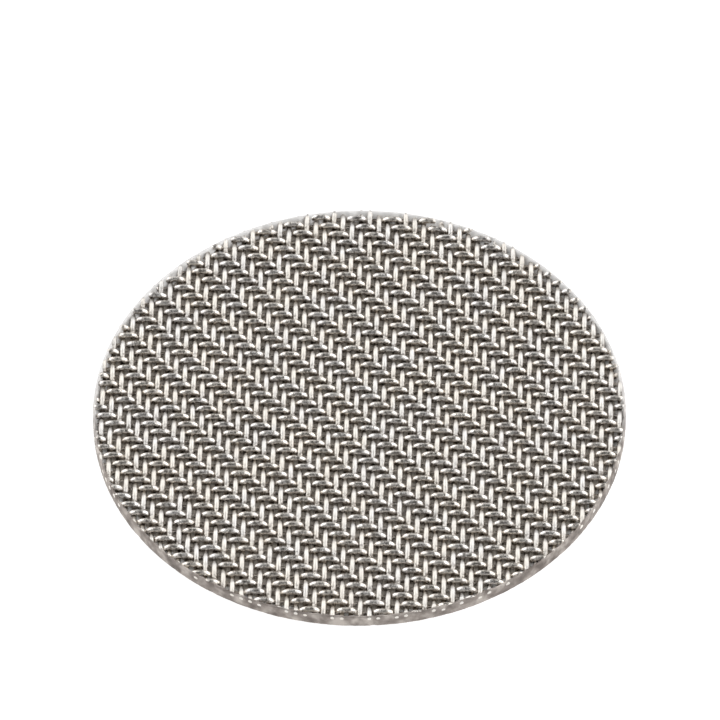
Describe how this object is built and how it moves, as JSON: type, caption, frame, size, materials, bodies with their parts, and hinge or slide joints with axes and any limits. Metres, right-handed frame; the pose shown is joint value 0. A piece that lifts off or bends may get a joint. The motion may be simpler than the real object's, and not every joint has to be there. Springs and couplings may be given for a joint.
{
  "type": "wire mesh filter disc",
  "caption": "Flat round filter disc of twill-woven stainless wire, pressed and bonded into one porous plate with a smooth cut rim.",
  "frame": {"origin": "centre of the lower face, in the plane that the disc rests on", "axes": "+Z is the disc's axis, up; +X runs nearly along the weft wires; +Y runs nearly along the warp wires, away from the picture's viewer"},
  "size_m": [0.0584, 0.0584, 0.0017],
  "materials": {
    "stainless_wire": "bright drawn stainless wire, darker and warmer in the pores and on the cut rim"
  },
  "bodies": {
    "root": {"mesh_disc": "stainless_wire"}
  },
  "joints": []
}
